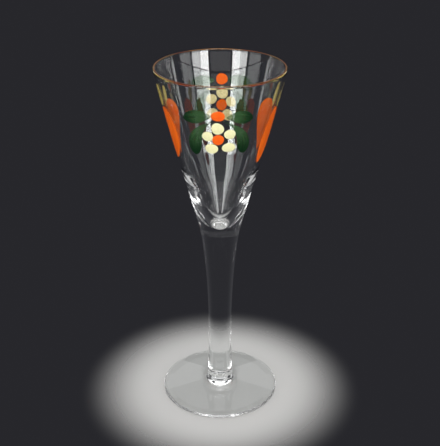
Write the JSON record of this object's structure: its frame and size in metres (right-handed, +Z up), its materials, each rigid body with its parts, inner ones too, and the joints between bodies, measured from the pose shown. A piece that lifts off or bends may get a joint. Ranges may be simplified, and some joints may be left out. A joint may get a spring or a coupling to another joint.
{
  "type": "schnapps glass",
  "caption": "Tall conical schnapps glass on a slim waisted stem and round foot, with a gold rim line and painted enamel flowers and tulips.",
  "frame": {"origin": "centre of the rest ring, on the plane that the glass stands on", "axes": "+Z up along the axis of the stem and bowl, -Y towards the flower seen in the picture"},
  "size_m": [0.056, 0.056, 0.16],
  "materials": {
    "clear_glass": "fire-polished clear colourless glass",
    "gold_lustre": "thin fired gold lustre, slightly worn",
    "orange_enamel": "opaque fired enamel with light brush streaks",
    "cream_enamel": "opaque fired enamel dots, slightly domed",
    "green_enamel": "fired enamel, thin at the root and pooled dark at the tip",
    "yellow_enamel": "thin fired enamel with brush streaks"
  },
  "bodies": {
    "root": {"foot": "clear_glass", "stem": "clear_glass", "bowl": "clear_glass", "rim_band": "gold_lustre", "front_flower_centre": "orange_enamel", "front_berry": "orange_enamel", "front_petal_1": "cream_enamel", "front_petal_2": "cream_enamel", "front_petal_3": "cream_enamel", "front_petal_4": "cream_enamel", "front_petal_5": "cream_enamel", "front_upper_leaf_left": "green_enamel", "front_upper_leaf_right": "green_enamel", "front_lower_leaf_left": "green_enamel", "front_lower_leaf_right": "green_enamel", "back_flower_centre": "orange_enamel", "back_berry": "orange_enamel", "back_petal_1": "cream_enamel", "back_petal_2": "cream_enamel", "back_petal_3": "cream_enamel", "back_petal_4": "cream_enamel", "back_petal_5": "cream_enamel", "back_upper_leaf_left": "green_enamel", "back_upper_leaf_right": "green_enamel", "back_lower_leaf_left": "green_enamel", "back_lower_leaf_right": "green_enamel", "right_tulip_petal_front": "orange_enamel", "right_tulip_petal_back": "orange_enamel", "right_stamen_front": "yellow_enamel", "right_stamen_back": "yellow_enamel", "left_tulip_petal_front": "orange_enamel", "left_tulip_petal_back": "orange_enamel", "left_stamen_front": "yellow_enamel", "left_stamen_back": "yellow_enamel"}
  },
  "joints": []
}
